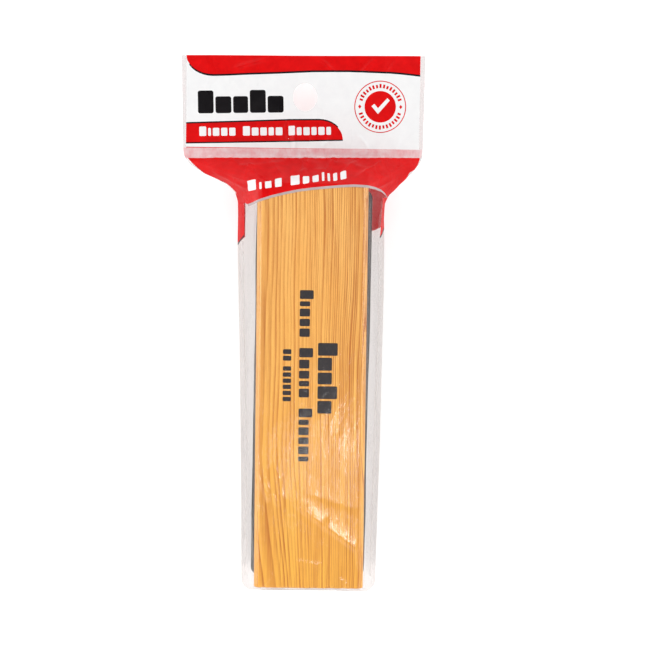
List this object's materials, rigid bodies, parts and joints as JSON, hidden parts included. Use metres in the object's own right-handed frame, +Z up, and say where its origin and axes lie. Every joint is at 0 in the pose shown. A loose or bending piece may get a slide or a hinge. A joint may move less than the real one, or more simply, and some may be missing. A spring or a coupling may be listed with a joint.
{
  "type": "chalkboard eraser",
  "caption": "Wooden-backed corduroy chalkboard eraser in a clear film sleeve with a printed hanging header, for wiping chalk from boards.",
  "frame": {"origin": "centre of the eraser's footprint, on the surface that the packed eraser lies on", "axes": "+X across the wooden block, +Y along it towards the hanging header, +Z up from the wiping face to the grip"},
  "size_m": [0.101, 0.2204, 0.0375],
  "materials": {
    "wood": "satin",
    "glue": "matte",
    "staple_steel": "satin",
    "fibreboard": "matte",
    "foam": "matte",
    "corduroy": "matte",
    "clear_film": "glossy",
    "adhesive": "satin",
    "red_film": "glossy",
    "white_film": "glossy"
  },
  "bodies": {
    "eraser": {"grip_block": "wood", "glue_bed": "glue", "cover_staples": "staple_steel", "pad_board": "fibreboard", "foam_core": "foam", "corduroy_cover": "corduroy"},
    "sleeve": {"sleeve_front_film": "clear_film", "sleeve_back_film": "clear_film"},
    "end_flap": {"end_wall_film": "clear_film"},
    "flap_lip": {"closure_lip": "clear_film", "adhesive_strip": "adhesive"},
    "shoulder": {"shoulder_front_film": "red_film", "shoulder_back_film": "red_film"},
    "header_tab": {"header_front_ply": "white_film", "header_back_ply": "white_film"}
  },
  "joints": [
    {"name": "sleeve_pull", "type": "slide", "parent": "eraser", "child": "sleeve", "axis": [0, -1, 0], "range_m": [0, 0.175]},
    {"name": "header_pull", "type": "slide", "parent": "eraser", "child": "shoulder", "axis": [0, 1, 0], "range_m": [0, 0.06]},
    {"name": "flap_open", "type": "hinge", "parent": "sleeve", "child": "end_flap", "pos_m": [0, -0.0833, 0.0374], "axis": [-1, 0, 0], "range_deg": [0, 110]},
    {"name": "lip_peel", "type": "hinge", "parent": "end_flap", "child": "flap_lip", "pos_m": [0, -0.0833, 0.0001], "axis": [-1, 0, 0], "range_deg": [0, 150]},
    {"name": "header_flex", "type": "hinge", "parent": "shoulder", "child": "header_tab", "pos_m": [0, 0.0956, 0.01878], "axis": [1, 0, 0], "range_deg": [-90, 90], "stiffness_Nm_per_rad": 0.012}
  ]
}
